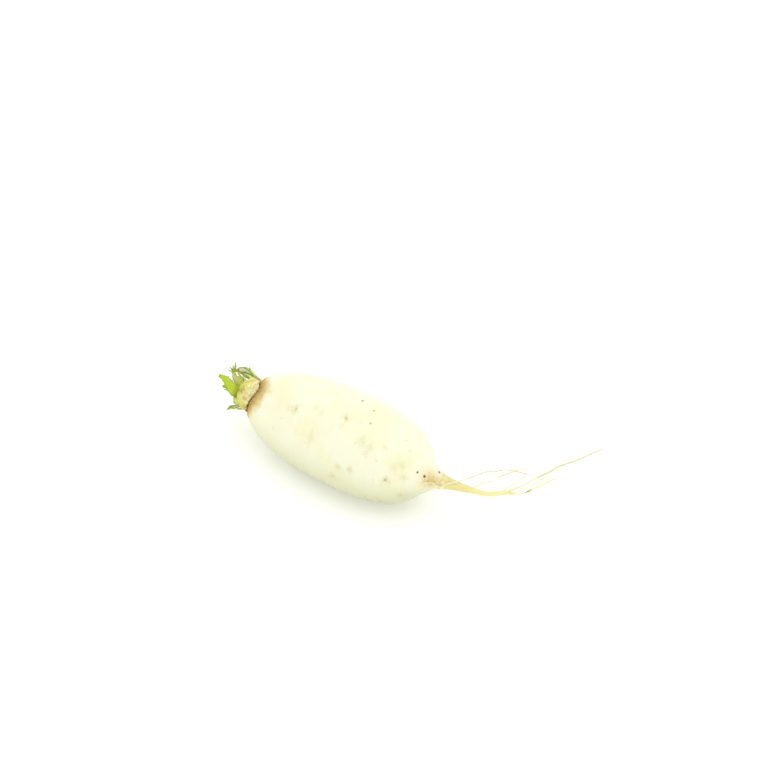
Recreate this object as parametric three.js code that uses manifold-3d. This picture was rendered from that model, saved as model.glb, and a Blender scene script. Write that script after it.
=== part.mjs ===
// A white radish, the stout kind sold as a long white turnip, lying on its side as it was lifted and
// trimmed. The swollen root, its crown knob and its taproot grew as one piece, and are one solid. The cut and
// torn leaf stalks, the young leaves, the dry leaf bases and the thin side roots are pieces of their own.
//
// Millimetres, +Z up. +X runs along the root from the crown towards the taproot, and +Y to its left. The
// origin is on the flat that the root rests on, under the widest part of the body.

import * as THREE from "three";
import { LoftGeometry } from "three/addons/geometries/LoftGeometry.js";
import { mergeVertices } from "three/addons/utils/BufferGeometryUtils.js";
import Module from "manifold-3d";

const wasm = await Module();
wasm.setup();

// ---------- driving dimensions ----------

const BODY_RADIUS = 38; // the swollen root at its widest
const BODY_LENGTH = 169; // from the neck crease to where the taproot starts
const BELLY_FLAT = 1.5; // how far the underside is short of round, where the root rests
const NECK_X = -91; // the crease between the crown knob and the shoulder
const AXIS_HEIGHT = BODY_RADIUS - BELLY_FLAT;
const NECK_Y = -1; // the crown sits a little to the right of the body's axis, and a little low
const NECK_Z = AXIS_HEIGHT - 0.9;
const KNOB_RADIUS = 14; // the crown knob at its collar
const KNOB_LENGTH = 15.5; // from the neck crease to the growing point
const GAP = 0.3; // between pieces that touch

const radians = THREE.MathUtils.degToRad;

// ---------- the root's centreline and outline ----------

// The body is straight. The taproot leaves its end, swings to the left, sags to the surface and lies on it.
const CENTRELINE = new THREE.CatmullRomCurve3(
  [
    [NECK_X - KNOB_LENGTH - 4, NECK_Y, NECK_Z],
    [NECK_X, NECK_Y, NECK_Z],
    [-60, -0.3, AXIS_HEIGHT - 0.3],
    [-30, 0, AXIS_HEIGHT],
    [30, 0, AXIS_HEIGHT],
    [62, 0.3, AXIS_HEIGHT],
    [76, 1.8, AXIS_HEIGHT - 0.4],
    [86, 4.8, 35],
    [96, 11, 30.5],
    [103, 16.5, 26.5],
    [108, 23, 22.3],
    [112, 31.5, 18.2],
    [115, 38.5, 14.8],
    [118, 43, 11.6],
    [120.5, 49, 8],
    [122, 58, 4.4],
    [123.5, 66.5, 1.8],
    [126, 75, 0.8],
    [132, 90, 0.6],
  ].map((p) => new THREE.Vector3(...p)),
  false,
  "centripetal",
);
CENTRELINE.arcLengthDivisions = 800;
const START = NECK_X - KNOB_LENGTH - 4;
const CENTRELINE_LENGTH = CENTRELINE.getLength();

// The outline: distance along the centreline from the neck crease (negative on the knob), then radius.
const L = BODY_LENGTH;
const R = BODY_RADIUS;
const OUTLINE = new THREE.CatmullRomCurve3(
  [
    [-KNOB_LENGTH, 0.4],
    [-KNOB_LENGTH * 0.94, KNOB_RADIUS * 0.36],
    [-KNOB_LENGTH * 0.84, KNOB_RADIUS * 0.57],
    [-KNOB_LENGTH * 0.7, KNOB_RADIUS * 0.77],
    [-KNOB_LENGTH * 0.5, KNOB_RADIUS * 0.93],
    [-KNOB_LENGTH * 0.3, KNOB_RADIUS],
    [-KNOB_LENGTH * 0.1, KNOB_RADIUS * 0.99],
    [0, KNOB_RADIUS * 0.9],
    [L * 0.018, R * 0.44],
    [L * 0.06, R * 0.6],
    [L * 0.116, R * 0.735],
    [L * 0.206, R * 0.864],
    [L * 0.345, R * 0.964],
    [L * 0.465, R * 0.995],
    [L * 0.555, R],
    [L * 0.645, R * 0.974],
    [L * 0.738, R * 0.907],
    [L * 0.788, R * 0.845],
    [L * 0.833, R * 0.765],
    [L * 0.872, R * 0.655],
    [L * 0.902, R * 0.54],
    [L * 0.924, R * 0.437],
    [L * 0.951, R * 0.315],
    [L * 0.981, R * 0.212],
    [L * 1.018, R * 0.146],
    [L * 1.05, R * 0.11],
    [L * 1.08, R * 0.09],
    [L * 1.13, R * 0.071],
    [L * 1.19, R * 0.057],
    [L * 1.3, R * 0.05],
    [L * 1.345, R * 0.045],
    [L * 1.37, R * 0.029],
    [L * 1.385, R * 0.026],
    [L * 1.41, R * 0.016],
    [L * 1.49, R * 0.015],
    [L * 1.655, R * 0.01],
  ].map(([s, r]) => new THREE.Vector3(s, r, 0)),
  false,
  "centripetal",
);

const OUTLINE_SAMPLES = OUTLINE.getPoints(900);

function radiusAt(s) {
  const after = OUTLINE_SAMPLES.findIndex((p) => p.x >= s);
  if (after === 0) return OUTLINE_SAMPLES[0].y;
  if (after < 0) return OUTLINE_SAMPLES.at(-1).y;
  const [a, b] = [OUTLINE_SAMPLES[after - 1], OUTLINE_SAMPLES[after]];
  return a.y + ((b.y - a.y) * (s - a.x)) / (b.x - a.x);
}

// A point on the root: s along it from the neck crease, turned degrees from +Y towards +Z, lifted off the
// skin. The section is a circle that is a little oval, cut flat where the root rests.
function rootPoint(s, degrees, lift = 0) {
  const share = (s + NECK_X - START) / CENTRELINE_LENGTH;
  const centre = CENTRELINE.getPointAt(share);
  const along = CENTRELINE.getTangentAt(share);
  const left = new THREE.Vector3(0, 0, 1).cross(along).normalize();
  const up = along.clone().cross(left);
  const turn = radians(degrees);
  const oval = 1 - 0.006 * Math.cos(2 * turn - 0.6) + 0.005 * Math.cos(3 * turn + s / 40);
  const reach = radiusAt(s) * oval + lift;
  const point = centre.addScaledVector(left, reach * Math.cos(turn));
  point.addScaledVector(up, reach * Math.sin(turn));
  point.z = Math.max(point.z, 0);
  return point;
}

// ---------- solids ----------

function solidOf(geometry) {
  const bare = new THREE.BufferGeometry().copy(geometry);
  bare.deleteAttribute("normal");
  bare.deleteAttribute("uv");
  const merged = mergeVertices(bare, 1e-4);
  return new wasm.Manifold(
    new wasm.Mesh({
      numProp: 3,
      vertProperties: merged.attributes.position.array,
      triVerts: new Uint32Array(merged.index.array),
    }),
  );
}

function geometryOf(solid) {
  const mesh = solid.getMesh();
  const geometry = new THREE.BufferGeometry();
  geometry.setAttribute("position", new THREE.BufferAttribute(mesh.vertProperties, 3));
  geometry.setIndex(new THREE.BufferAttribute(mesh.triVerts, 1));
  geometry.computeVertexNormals();
  return geometry;
}

// The part of a solid that is left outside another one, without the crumbs that a cut can leave.
function outside(solid, cutter) {
  const kept = solid.subtract(cutter).decompose();
  return kept.reduce((a, b) => (b.volume() > a.volume() ? b : a));
}

const ROOT_COLUMNS = 32;
const ROOT_ROWS = 72;

function rootGeometry(lift) {
  const sections = [];
  for (let row = 0; row <= ROOT_ROWS; row++) {
    const s = OUTLINE.getPoint(row / ROOT_ROWS).x;
    const ring = [];
    for (let column = 0; column < ROOT_COLUMNS; column++) {
      // the first point is straight down, so that the belly's flat is made of whole facets
      ring.push(rootPoint(s, -90 + (360 * column) / ROOT_COLUMNS, lift));
    }
    sections.push(ring);
  }
  return new LoftGeometry(sections, { capStart: true, capEnd: true });
}

const SKIN_WITH_GAP = solidOf(rootGeometry(GAP));

// ---------- the group ----------

const part = new THREE.Group();

function material(color, roughness) {
  return new THREE.MeshStandardMaterial({ color, roughness, metalness: 0 });
}

const SKIN = material("#f4f1cf", 0.45);
const STALK = material("#a9c046", 0.5);
const YOUNG_LEAF = material("#7ea02c", 0.55);
const DRY_LEAF = material("#8a6a35", 0.8);
const SIDE_ROOT = material("#efe7b4", 0.6);

function add(name, geometry, finish) {
  const mesh = new THREE.Mesh(geometry, finish);
  mesh.name = name;
  part.add(mesh);
}

add("root", rootGeometry(0), SKIN);

// ---------- leaf stalks and leaves ----------

// A place on the crown: reach from the neck crease towards the leaves, distance from the crown's axis, and
// degrees from +Y towards +Z.
function crownPoint([reach, radius, degrees]) {
  const turn = radians(degrees);
  const [y, z] = [radius * Math.cos(turn), radius * Math.sin(turn)];
  return new THREE.Vector3(NECK_X - reach, NECK_Y + y, NECK_Z + z);
}

// A list of sizes along a piece, eased from one to the next.
function eased(sizes, share) {
  const curve = new THREE.CatmullRomCurve3(sizes.map((size, i) => new THREE.Vector3(i, size, 0)));
  return Math.max(curve.getPoint(share).y, 0.3);
}

const LEAF_ROWS = 12;
const LEAF_COLUMNS = 6; // points across each face
const LEAF_EDGE = 0.35; // how thick a leaf is at its edges, as a share of its middle

// A stalk or blade: a cupped strip, thickest along its middle, that follows a path out of the crown. Its
// hollow side faces the crown's middle, as in every leaf of the rosette.
function leaf(name, { path, halfWidths, thickness, cup, finish }) {
  const midrib = new THREE.CatmullRomCurve3(path.map(crownPoint), false, "centripetal");
  const sections = [];
  for (let row = 0; row <= LEAF_ROWS; row++) {
    const share = row / LEAF_ROWS;
    const centre = midrib.getPointAt(share);
    const along = midrib.getTangentAt(share);
    const outward = new THREE.Vector3(0, centre.y - NECK_Y, centre.z - NECK_Z);
    outward.addScaledVector(along, -outward.dot(along)).normalize();
    const across = outward.clone().cross(along);
    const half = eased(halfWidths, share);
    const ring = [];
    for (const side of [1, -1]) {
      for (let column = 0; column < LEAF_COLUMNS; column++) {
        const v = side * (1 - (2 * column) / (LEAF_COLUMNS - 1));
        const depth = side > 0 ? 0 : thickness * (1 - (1 - LEAF_EDGE) * v * v);
        ring.push(
          centre
            .clone()
            .addScaledVector(across, half * v)
            .addScaledVector(outward, thickness / 2 - cup * (half / halfWidths[0]) * v * v - depth),
        );
      }
    }
    sections.push(ring);
  }
  const strip = solidOf(new LoftGeometry(sections, { capStart: true, capEnd: true }));
  add(name, geometryOf(outside(strip, SKIN_WITH_GAP)), finish);
}

// Older leaves, cut or torn off short. From the top of the crown, round by the front.
leaf("stalk_arched", {
  path: [
    [5, 12, 34], [10.3, 15.3, 28], [16.8, 17.8, 21.5],
    [22.9, 18.6, 16.5], [27.8, 16.6, 12], [30.6, 13.2, 9],
  ],
  halfWidths: [2.6, 3, 4, 4.8, 3.6, 0.9],
  thickness: 1.3,
  cup: 1.7,
  finish: STALK,
});
leaf("stalk_inner", {
  path: [[6.8, 10.4, 50], [12.2, 12.6, 39], [17.4, 12.5, 31], [22.3, 11.4, 25]],
  halfWidths: [2.2, 3.4, 3.8, 1.8],
  thickness: 1.2,
  cup: 1.2,
  finish: STALK,
});
leaf("stalk_torn", {
  path: [
    [11.5, 8.5, 140], [15.1, 11.3, 142], [19.1, 13, 132],
    [23.6, 13.8, 121], [27.7, 14, 118.5], [31, 14, 121.5],
  ],
  halfWidths: [4.2, 5.7, 3.8, 3.4, 2.2, 0.9],
  thickness: 1.1,
  cup: 1.6,
  finish: STALK,
});
leaf("stalk_shred", {
  path: [[16, 6, 214], [20.7, 5.4, 205], [26, 4.6, 192], [30.6, 4.4, 188]],
  halfWidths: [1.5, 2, 1.8, 0.8],
  thickness: 0.8,
  cup: 0.5,
  finish: STALK,
});
leaf("stalk_broad", {
  path: [[4, 10, 187], [7.5, 10.9, 187], [10.7, 11.7, 187], [13.2, 12.2, 186]],
  halfWidths: [4.2, 4.7, 4.8, 4.6],
  thickness: 2.2,
  cup: 1.5,
  finish: STALK,
});
leaf("stalk_curled", {
  path: [[6.8, 10.9, 221], [10.2, 12.9, 219], [11.7, 15.8, 209.5], [13.1, 18.1, 201], [14.5, 19.9, 197]],
  halfWidths: [2.2, 2.8, 3.6, 3.4, 1.3],
  thickness: 1,
  cup: 1.3,
  finish: STALK,
});
leaf("stalk_low", {
  path: [[3.4, 11, 238], [5.8, 12.2, 234], [8.5, 13.8, 228], [11.6, 14.6, 223]],
  halfWidths: [2.6, 2.8, 2.4, 1],
  thickness: 1.2,
  cup: 1,
  finish: STALK,
});
leaf("stalk_under", {
  path: [[3, 12, 272], [8, 14.9, 272], [14, 16.6, 271]],
  halfWidths: [3.6, 3.4, 3.2],
  thickness: 2.6,
  cup: 1.6,
  finish: STALK,
});
leaf("stalk_back_low", {
  path: [[3.5, 12, 306], [9.5, 15.2, 305], [17, 17.4, 303]],
  halfWidths: [4.1, 3.7, 3.4],
  thickness: 2.8,
  cup: 2,
  finish: STALK,
});
leaf("stalk_back_high", {
  path: [[4, 12, 346], [10, 15, 346], [18.5, 15.8, 345]],
  halfWidths: [4, 3.6, 3.3],
  thickness: 2.8,
  cup: 2,
  finish: STALK,
});

// Young leaves and the bud they come from, in the middle of the crown.
leaf("young_leaf_top", {
  path: [[14.1, 6, 95], [18.3, 8.5, 91.5], [21.1, 12.4, 90], [21.5, 16, 86]],
  halfWidths: [4.6, 3.4, 2.2, 1.1],
  thickness: 1.2,
  cup: 0.9,
  finish: YOUNG_LEAF,
});
leaf("young_leaf_low", {
  path: [[12, 4.8, 248], [16.5, 5.6, 249], [20, 6.2, 250]],
  halfWidths: [1.5, 1.9, 0.6],
  thickness: 0.9,
  cup: 0.6,
  finish: YOUNG_LEAF,
});
leaf("young_leaf_back", {
  path: [[11.7, 5.3, 36], [17.2, 7.8, 42], [21.9, 10.2, 43], [24.4, 11.9, 42]],
  halfWidths: [2, 2.4, 2.2, 0.8],
  thickness: 0.9,
  cup: 0.7,
  finish: YOUNG_LEAF,
});
leaf("bud", {
  path: [[13.5, 0.2, 30], [17.5, 1, 30], [22.5, 2.6, 30]],
  halfWidths: [1.3, 1.2, 0.4],
  thickness: 1.5,
  cup: 0.3,
  finish: YOUNG_LEAF,
});

// Bases of the oldest leaves, withered to brown scales that stand off the collar.
leaf("dry_scale_top", {
  path: [[0.8, 12.8, 62], [3.4, 14.6, 61], [6.4, 15.6, 60]],
  halfWidths: [2.4, 1.8, 0.4],
  thickness: 0.8,
  cup: 0.6,
  finish: DRY_LEAF,
});
leaf("dry_scale_back", {
  path: [[0.8, 12.8, 324], [3.6, 15.2, 324], [6.5, 16.6, 325]],
  halfWidths: [2.4, 1.9, 0.5],
  thickness: 0.8,
  cup: 0.6,
  finish: DRY_LEAF,
});

// ---------- side roots ----------

const THREAD_COLUMNS = 6;

// A round thread that tapers along its path, as a solid.
function strand(points, radii, rows) {
  const path = new THREE.CatmullRomCurve3(points, false, "centripetal");
  const sections = [];
  for (let row = 0; row <= rows; row++) {
    const share = row / rows;
    const centre = path.getPointAt(share);
    const along = path.getTangentAt(share);
    const left = new THREE.Vector3(0, 0, 1).cross(along).normalize();
    const up = along.clone().cross(left);
    const radius = THREE.MathUtils.lerp(radii[0], radii[1], share);
    const ring = [];
    for (let column = 0; column < THREAD_COLUMNS; column++) {
      const turn = (2 * Math.PI * column) / THREAD_COLUMNS;
      const point = centre.clone();
      point.addScaledVector(left, radius * Math.cos(turn)).addScaledVector(up, radius * Math.sin(turn));
      ring.push(point);
    }
    sections.push(ring);
  }
  return solidOf(new LoftGeometry(sections, { capStart: true, capEnd: true }));
}

// A side root: one strand and its twigs, joined, and cut clear of the taproot that it grows from.
function sideRoot(name, ...strands) {
  const joined = strands.reduce((a, b) => a.add(b));
  add(name, geometryOf(outside(joined, SKIN_WITH_GAP)), SIDE_ROOT);
}

const place = (x, y, z) => new THREE.Vector3(x, y, z);

// The long one leaves the taproot where that has thinned to 3 mm, and lies along the surface beyond it.
sideRoot(
  "side_root_long",
  strand(
    [
      place(115, 40.5, 15), place(116, 47, 12.6), place(118, 60, 8), place(118.5, 68, 5.5),
      place(119.5, 76, 3), place(122, 86, 1.2), place(126, 98, 0.8), place(132, 109, 0.7),
      place(138, 121, 0.7), place(144, 135, 0.6),
    ],
    [0.85, 0.4],
    22,
  ),
);

// The arched one grows from the end of the body, clings to the skin, crosses the taproot and arches over to
// the left. It forks just before it reaches the surface.
const CLING = 1; // from the skin to the middle of the thread
sideRoot(
  "side_root_arched",
  strand(
    [
      rootPoint(161, 157, CLING), rootPoint(163, 158, CLING), rootPoint(165.5, 152, CLING),
      rootPoint(168, 166, CLING), rootPoint(171.5, 171, CLING), rootPoint(174, 146, CLING),
      rootPoint(177.5, 122, CLING), rootPoint(180.5, 95, CLING), place(91.5, 11.5, 37.4),
      place(95, 18.3, 36.6), place(98, 31, 32.6), place(100, 41, 26.8), place(102, 58, 15.5),
      place(104, 69, 6.5), place(107, 75, 1.4), place(112, 77, 0.6),
    ],
    [0.5, 0.4],
    40,
  ),
  strand(
    [place(103.6, 67, 8.2), place(104.2, 75, 3.4), place(106, 80, 0.8), place(109.5, 82, 0.6)],
    [0.4, 0.35],
    7,
  ),
);
sideRoot(
  "side_root_middle",
  strand(
    [
      place(98.6, 14, 29.6), place(100, 22, 28.8), place(102, 36, 22), place(101.5, 52, 14),
      place(101, 63, 7.5), place(100.5, 71, 2.2), place(101.5, 76, 0.6),
    ],
    [0.6, 0.35],
    14,
  ),
);
sideRoot(
  "side_root_fine",
  strand(
    [
      place(112, 34, 18), place(112.4, 45, 14.6), place(112, 56, 9.6), place(110, 69, 2.4),
      place(109.5, 73, 0.6),
    ],
    [0.5, 0.35],
    10,
  ),
);
sideRoot(
  "side_root_tip",
  strand(
    [
      place(122, 59, 4.4), place(120.6, 65, 3.4), place(120.8, 74, 1), place(123, 79, 0.6),
      place(127.4, 81, 0.6),
    ],
    [0.45, 0.35],
    9,
  ),
);

export default part;
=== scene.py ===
import math

import bpy
import numpy as np
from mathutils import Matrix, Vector


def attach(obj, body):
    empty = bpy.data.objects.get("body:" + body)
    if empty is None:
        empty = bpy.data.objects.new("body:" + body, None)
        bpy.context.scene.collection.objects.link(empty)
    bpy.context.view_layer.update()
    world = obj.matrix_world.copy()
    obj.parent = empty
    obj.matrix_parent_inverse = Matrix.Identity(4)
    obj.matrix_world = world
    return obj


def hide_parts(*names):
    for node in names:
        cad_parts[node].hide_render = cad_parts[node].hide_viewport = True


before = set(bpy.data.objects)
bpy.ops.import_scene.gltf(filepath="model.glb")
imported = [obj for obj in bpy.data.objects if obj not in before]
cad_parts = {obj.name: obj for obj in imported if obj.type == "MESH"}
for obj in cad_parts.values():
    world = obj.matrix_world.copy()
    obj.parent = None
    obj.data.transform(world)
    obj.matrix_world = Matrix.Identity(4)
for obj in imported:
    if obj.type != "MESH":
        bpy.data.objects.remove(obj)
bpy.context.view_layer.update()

# A white radish of the stout kind that is sold as a long white turnip, lying on its side with its leaves
# torn and cut off short and its thin taproot spread out. Sizes here are in millimetres; the camera, the lamp
# and the finished meshes are in metres.


# ---- The sheet it lies on, the light and the camera -------------------------------------------------------
# A seamless sheet of matt white paper on a light table in a white room, under one large soft lamp. The camera
# looks down on the root from its right side, a little from the tail.

def linear(code):
    """An sRGB colour such as "#fdfce0" as linear red, green, blue and an alpha of 1.

    Each channel c from 0 to 1 becomes ((c + 0.055) / 1.055) ^ 2.4, or c / 12.92 where it is very dark."""
    c = np.array([int(code[i:i + 2], 16) for i in (1, 3, 5)]) / 255
    c = np.where(c <= 0.04045, c / 12.92, ((c + 0.055) / 1.055) ** 2.4)
    return (*c.tolist(), 1.0)


def add_node(tree, kind, inputs=None, **settings):
    """Adds a node of that kind with its settings, and fills its inputs: an output is linked and a value is
    set."""
    node = tree.nodes.new("ShaderNode" + kind)
    for setting, value in settings.items():
        setattr(node, setting, value)
    for socket, value in (inputs or {}).items():
        if isinstance(value, bpy.types.NodeSocket):
            tree.links.new(value, node.inputs[socket])
        else:
            node.inputs[socket].default_value = value
    return node


def new_finish(name, roughness):
    """A new material of that name, and its node tree and shader, for a surface that isn't metal."""
    finish = bpy.data.materials.new(name)
    finish.use_nodes = True
    shader = finish.node_tree.nodes["Principled BSDF"]
    shader.inputs["Roughness"].default_value = roughness
    return finish, finish.node_tree, shader


# matt coated paper on a light table: a trace of fibre in its white, nothing shiny, and a faint even glow
# from below that takes the weight out of the shadow
paper, tree, shader = new_finish("matt_white_paper", 0.9)
fibre = add_node(tree, "TexNoise", {"Vector": add_node(tree, "TexCoord").outputs["Object"], "Scale": 60.0})
tint = add_node(tree, "Mix", {0: fibre.outputs["Fac"], 6: linear("#fafafa"), 7: linear("#fdfdfd")},
                data_type="RGBA")
tree.links.new(tint.outputs[2], shader.inputs["Base Color"])
shader.inputs["Specular IOR Level"].default_value = 0.1
shader.inputs["Emission Color"].default_value = (1, 1, 1, 1)
shader.inputs["Emission Strength"].default_value = 0.17

PAPER_HALF = 2500  # half the sheet's width
PAPER_DROP = 0.05  # so that the sheet and the flat under the root don't share a plane
sheet = bpy.data.meshes.new("paper")
corners = np.array([[-1, -1, 0], [1, -1, 0], [1, 1, 0], [-1, 1, 0]]) * PAPER_HALF - [0, 0, PAPER_DROP]
sheet.from_pydata((corners / 1000).tolist(), [], [(0, 1, 2, 3)])
sheet.materials.append(paper)
floor = bpy.data.objects.new("paper", sheet)
bpy.context.scene.collection.objects.link(floor)

room = bpy.data.worlds.new("white_room")
room.use_nodes = True
room.node_tree.nodes["Background"].inputs["Color"].default_value = (1, 1, 1, 1)
room.node_tree.nodes["Background"].inputs["Strength"].default_value = 0.9
bpy.context.scene.world = room
bpy.context.scene.view_settings.view_transform = "Standard"

AIM = Vector((0.0091, 0.0365, 0.0661))  # the middle of the view, at the root's depth
LOOK_FROM = Vector((0.5933, -0.8158, 0.9964))
LENS = 84.97
SENSOR = 36
eye = bpy.data.cameras.new("camera")
eye.lens = LENS
eye.sensor_width = SENSOR
eye.clip_start = 0.05
eye.clip_end = 20
camera = bpy.data.objects.new("camera", eye)
camera.location = LOOK_FROM
camera.rotation_mode = "QUATERNION"
camera.rotation_quaternion = (AIM - LOOK_FROM).to_track_quat("-Z", "Y")
bpy.context.scene.collection.objects.link(camera)
bpy.context.scene.camera = camera

LAMP_PLACE = Vector((0.1, 0.15, 1.5))
LAMP_SIZE = 2.2  # its diameter in metres
LAMP_POWER = 7  # watts
glow = bpy.data.lights.new("soft_lamp", "AREA")
glow.shape = "DISK"
glow.size = LAMP_SIZE
glow.energy = LAMP_POWER
lamp = bpy.data.objects.new("soft_lamp", glow)
lamp.location = LAMP_PLACE
lamp.rotation_mode = "QUATERNION"
lamp.rotation_quaternion = (-LAMP_PLACE).to_track_quat("-Z", "Y")
bpy.context.scene.collection.objects.link(lamp)


# ---- The swollen root, its crown knob and its taproot -----------------------------------------------------
# One living piece: smooth waxy white skin over crisp flesh, a corky knob of leaf bases where the leaves grew,
# a dirty crease round its neck, and a thin yellow taproot. Scars of side roots pit the skin.

RADIUS = 38  # the body at its widest
LENGTH = 169  # from the neck crease to where the taproot starts
NECK = np.array([-91, -1, 35.6])  # the middle of the neck crease
KNOB_RADIUS = 14  # at its collar
KNOB_LENGTH = 15.5  # from the neck crease to the growing point
LEAD = KNOB_LENGTH + 4  # how far the centreline starts before the neck crease

# the middle of the body, and of the taproot, which swings to the left, sags and lies on the sheet
CENTRELINE = [
    NECK - [LEAD, 0, 0], NECK, [-60, -0.3, 36.2], [-30, 0, 36.5], [30, 0, 36.5], [62, 0.3, 36.5],
    [76, 1.8, 36.1], [86, 4.8, 35], [96, 11, 30.5], [103, 16.5, 26.5], [108, 23, 22.3], [112, 31.5, 18.2],
    [115, 38.5, 14.8], [118, 43, 11.6], [120.5, 49, 8], [122, 58, 4.4], [123.5, 66.5, 1.8],
    [126, 75, 0.8], [132, 90, 0.6],
]
# the outline: shares of the knob's length and radius, then of the body's
KNOB_OUTLINE = [
    (-1, 0.03), (-0.94, 0.36), (-0.84, 0.57), (-0.7, 0.77), (-0.5, 0.93), (-0.3, 1), (-0.1, 0.99),
    (0, 0.9),
]
ROOT_OUTLINE = [
    (0.018, 0.44), (0.06, 0.6), (0.116, 0.735), (0.206, 0.864), (0.345, 0.964), (0.465, 0.995),
    (0.555, 1), (0.645, 0.974), (0.738, 0.907), (0.788, 0.845), (0.833, 0.765), (0.872, 0.655),
    (0.902, 0.54), (0.924, 0.437), (0.951, 0.315), (0.981, 0.212), (1.018, 0.146), (1.05, 0.11),
    (1.08, 0.09), (1.13, 0.071), (1.19, 0.057), (1.3, 0.05), (1.345, 0.045), (1.37, 0.029),
    (1.385, 0.026), (1.41, 0.016), (1.49, 0.015), (1.655, 0.01),
]


def through(points, t):
    """Points of a smooth curve through the given ones, at t from 0 to 1 in even steps from point to point.

    Between two points it is the cubic 1, w, w^2, w^3 whose slope at each is that of a centripetal Catmull-Rom
    curve: the chords either side, weighted by the square roots of their lengths."""
    p = np.asarray(points, float)
    p = np.vstack([2 * p[0] - p[1], p, 2 * p[-1] - p[-2]])
    spans = len(p) - 3
    i = np.clip((t * spans).astype(int), 0, spans - 1)
    w = (t * spans - i)[..., None]
    a, b, c, d = p[i], p[i + 1], p[i + 2], p[i + 3]
    ab, bc, cd = (np.sqrt(np.linalg.norm(q, axis=-1))[..., None] for q in (b - a, c - b, d - c))
    m = ((b - a) / ab - (c - a) / (ab + bc) + (c - b) / bc) * bc
    n = ((c - b) / bc - (d - b) / (bc + cd) + (d - c) / cd) * bc
    return b + m * w + (3 * (c - b) - 2 * m - n) * w ** 2 + (2 * (b - c) + m + n) * w ** 3


def along_path(points, share):
    """Where a share (0 to 1) of the length of the curve through the points ends, the way it runs there, and
    its whole length: the lengths of 3000 short chords are summed, and the sum is read backwards."""
    t = np.linspace(0, 1, 3001)
    line = through(points, t)
    length = np.append(0, np.cumsum(np.linalg.norm(np.diff(line, axis=0), axis=1)))
    at = np.interp(np.asarray(share) * length[-1], length, t)
    ahead = through(points, np.clip(at + 1e-4, 0, 1)) - through(points, np.clip(at - 1e-4, 0, 1))
    return through(points, at), ahead / np.linalg.norm(ahead, axis=-1)[..., None], length[-1]


def ease(low, high, value):
    """0 below low, 1 above high, and 3t^2 - 2t^3 between them; where low is the larger it falls instead."""
    t = np.clip((value - low) / (high - low), 0, 1)
    return t * t * (3 - 2 * t)


def rolling(along, turn, seed, wavelength, crests):
    """An uneven surface with a spread of about 1: the sum of 30 sine waves, each of a random length about the
    wavelength (mm) lengthwise, with a random whole number of up to so many crests round the piece."""
    rng = np.random.default_rng(seed)
    total = 0
    for _ in range(30):
        pace = 2 * np.pi / (wavelength * rng.uniform(0.6, 1.8))
        whole = rng.integers(-crests, crests + 1)
        total = total + np.sin(pace * along + whole * turn + rng.uniform(0, 2 * np.pi))
    return total / math.sqrt(15)


outline_points = [(s * KNOB_LENGTH, r * KNOB_RADIUS) for s, r in KNOB_OUTLINE]
outline_points += [(s * LENGTH, r * RADIUS) for s, r in ROOT_OUTLINE]
OUTLINE = through(outline_points, np.linspace(0, 1, 2000))
CENTRELINE_LENGTH = along_path(CENTRELINE, [0])[2]

# where the crease between the knob and the shoulder runs: degrees from the left towards the top, mm along
CREASE = np.array([
    (0, 0.2), (30, 0), (50, 0), (65, 0.6), (80, 2.6), (90, 4.6), (100, 6.4), (108, 7.8), (115, 8.2),
    (122, 7.4), (130, 6.3), (140, 5), (150, 3.9), (165, 2.3), (180, 1), (200, 0), (220, -0.8),
    (245, -0.6), (290, -0.4), (360, 0.2),
])


def crease_at(turn):
    """How far along the root the neck crease is at each turn (radians), in mm: read off CREASE, uneven."""
    return np.interp(np.degrees(turn) % 360, *CREASE.T) + 0.3 * rolling(0, turn, 3, 9, 24)


COLLAR_AT = -4.6  # mm along, where the knob is widest
SHOULDER_START = 3.1  # mm along, where the shoulder comes out of the crease
CATCH_UP = 18  # mm past the crease, where the collar no longer shapes the shoulder


def body_radius(s, turn):
    """The radius (mm) at each place: the outline, with a collar of leaf bases pushed over the shoulder.

    The larger of two shapes. The knob keeps its widest outline from the collar on, widens by a lip towards
    the crease, rolls in over its last millimetre and drops steeply past the crease. The shoulder's outline
    is read later than it stands where the collar covers it, and catches up within 18 mm."""
    edge = crease_at(turn)
    covered = np.clip(edge, 0, None)  # how far the collar reaches over the shoulder
    lip = 0.5 * covered * ease(-10, edge, s)
    roll = 1.9 * ease(edge - 1.1, edge + 0.1, s) ** 1.5
    knob = np.interp(np.minimum(s, COLLAR_AT), *OUTLINE.T) + lip - roll
    knob = knob - 5 * np.clip(s - edge, 0, None)
    late = s - 0.62 * covered * (1 - ease(edge, edge + CATCH_UP, s))
    shoulder = np.interp(np.maximum(late, SHOULDER_START), *OUTLINE.T)
    shoulder = shoulder - 2.2 * np.clip(SHOULDER_START - late, 0, None)
    return np.maximum(knob, shoulder)


def skin(s, turn, lift=0):
    """The point s mm along the root from the neck crease and turned (radians) from its left towards its top,
    lifted off the plain skin. A slightly oval section, square to the centreline, and flat where it rests."""
    centre, ahead, _ = along_path(CENTRELINE, (s + LEAD) / CENTRELINE_LENGTH)
    left = np.stack([-ahead[..., 1], ahead[..., 0], 0 * ahead[..., 0]], -1)
    left = left / np.linalg.norm(left, axis=-1)[..., None]
    up = np.cross(ahead, left)
    oval = 1 - 0.006 * np.cos(2 * turn - 0.6) + 0.005 * np.cos(3 * turn + s / 40)
    reach = (body_radius(s, turn) * oval + lift)[..., None]
    point = centre + left * reach * np.cos(turn)[..., None] + up * reach * np.sin(turn)[..., None]
    point[..., 2] = np.maximum(point[..., 2], 0)
    return point


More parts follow.
